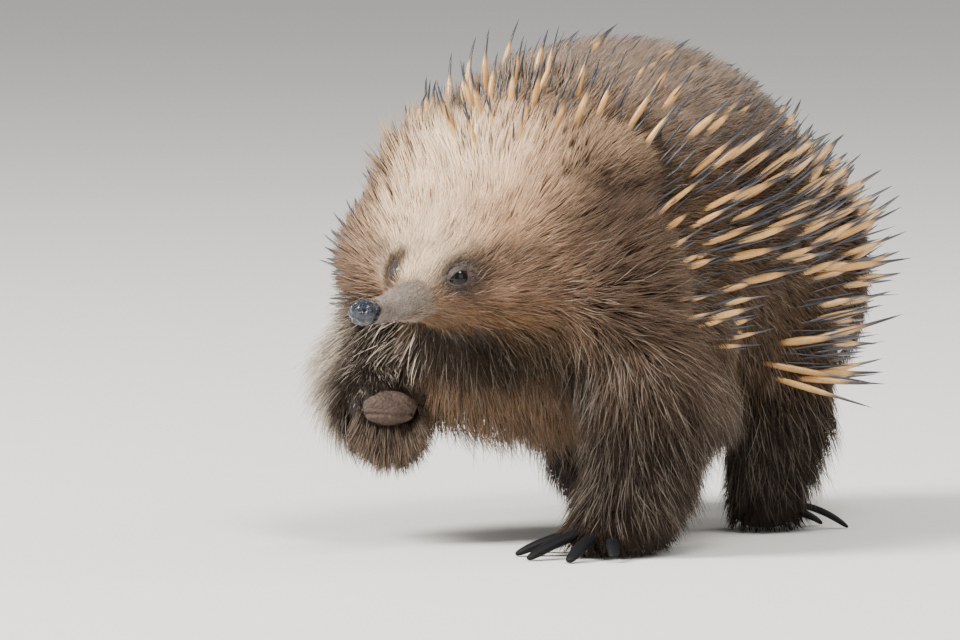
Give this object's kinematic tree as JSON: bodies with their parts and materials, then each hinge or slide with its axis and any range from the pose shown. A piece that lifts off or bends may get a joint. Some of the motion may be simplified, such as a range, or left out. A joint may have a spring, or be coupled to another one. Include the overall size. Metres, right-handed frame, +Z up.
{
  "type": "short-beaked echidna",
  "caption": "Life-size still model of a short-beaked echidna in mid stride, with one forefoot lifted, long brown fur, cream and slate spines, a bare beak and broad digging claws.",
  "frame": {"origin": "on the floor under the middle of the animal's outline", "axes": "+Z up, -Y the way the animal faces and walks, +X its left side"},
  "size_m": [0.1996, 0.3278, 0.2086],
  "materials": {
    "fur": "long brown fur with horn spines",
    "face_fur": "short straw and golden brown fur",
    "beak_skin": "bare grey skin with a dark moist tip",
    "eye": "dark, wet and clear",
    "claw": "slate grey horn"
  },
  "bodies": {
    "root": {"torso": "fur", "neck": "fur", "head": "face_fur", "beak": "beak_skin", "tail": "fur", "fore_leg_left": "fur", "fore_leg_right": "fur", "hind_leg_left": "fur", "hind_leg_right": "fur", "fore_leg_left_claw_1": "claw", "fore_leg_left_claw_2": "claw", "fore_leg_left_claw_3": "claw", "fore_leg_left_claw_4": "claw", "fore_leg_left_claw_5": "claw", "fore_leg_right_claw_1": "claw", "fore_leg_right_claw_2": "claw", "fore_leg_right_claw_3": "claw", "fore_leg_right_claw_4": "claw", "fore_leg_right_claw_5": "claw", "hind_leg_left_claw_1": "claw", "hind_leg_left_claw_2": "claw", "hind_leg_left_claw_3": "claw", "hind_leg_left_claw_4": "claw", "hind_leg_left_claw_5": "claw", "hind_leg_right_claw_1": "claw", "hind_leg_right_claw_2": "claw", "hind_leg_right_claw_3": "claw", "hind_leg_right_claw_4": "claw", "hind_leg_right_claw_5": "claw", "eye_left": "eye", "eye_right": "eye"}
  },
  "joints": []
}
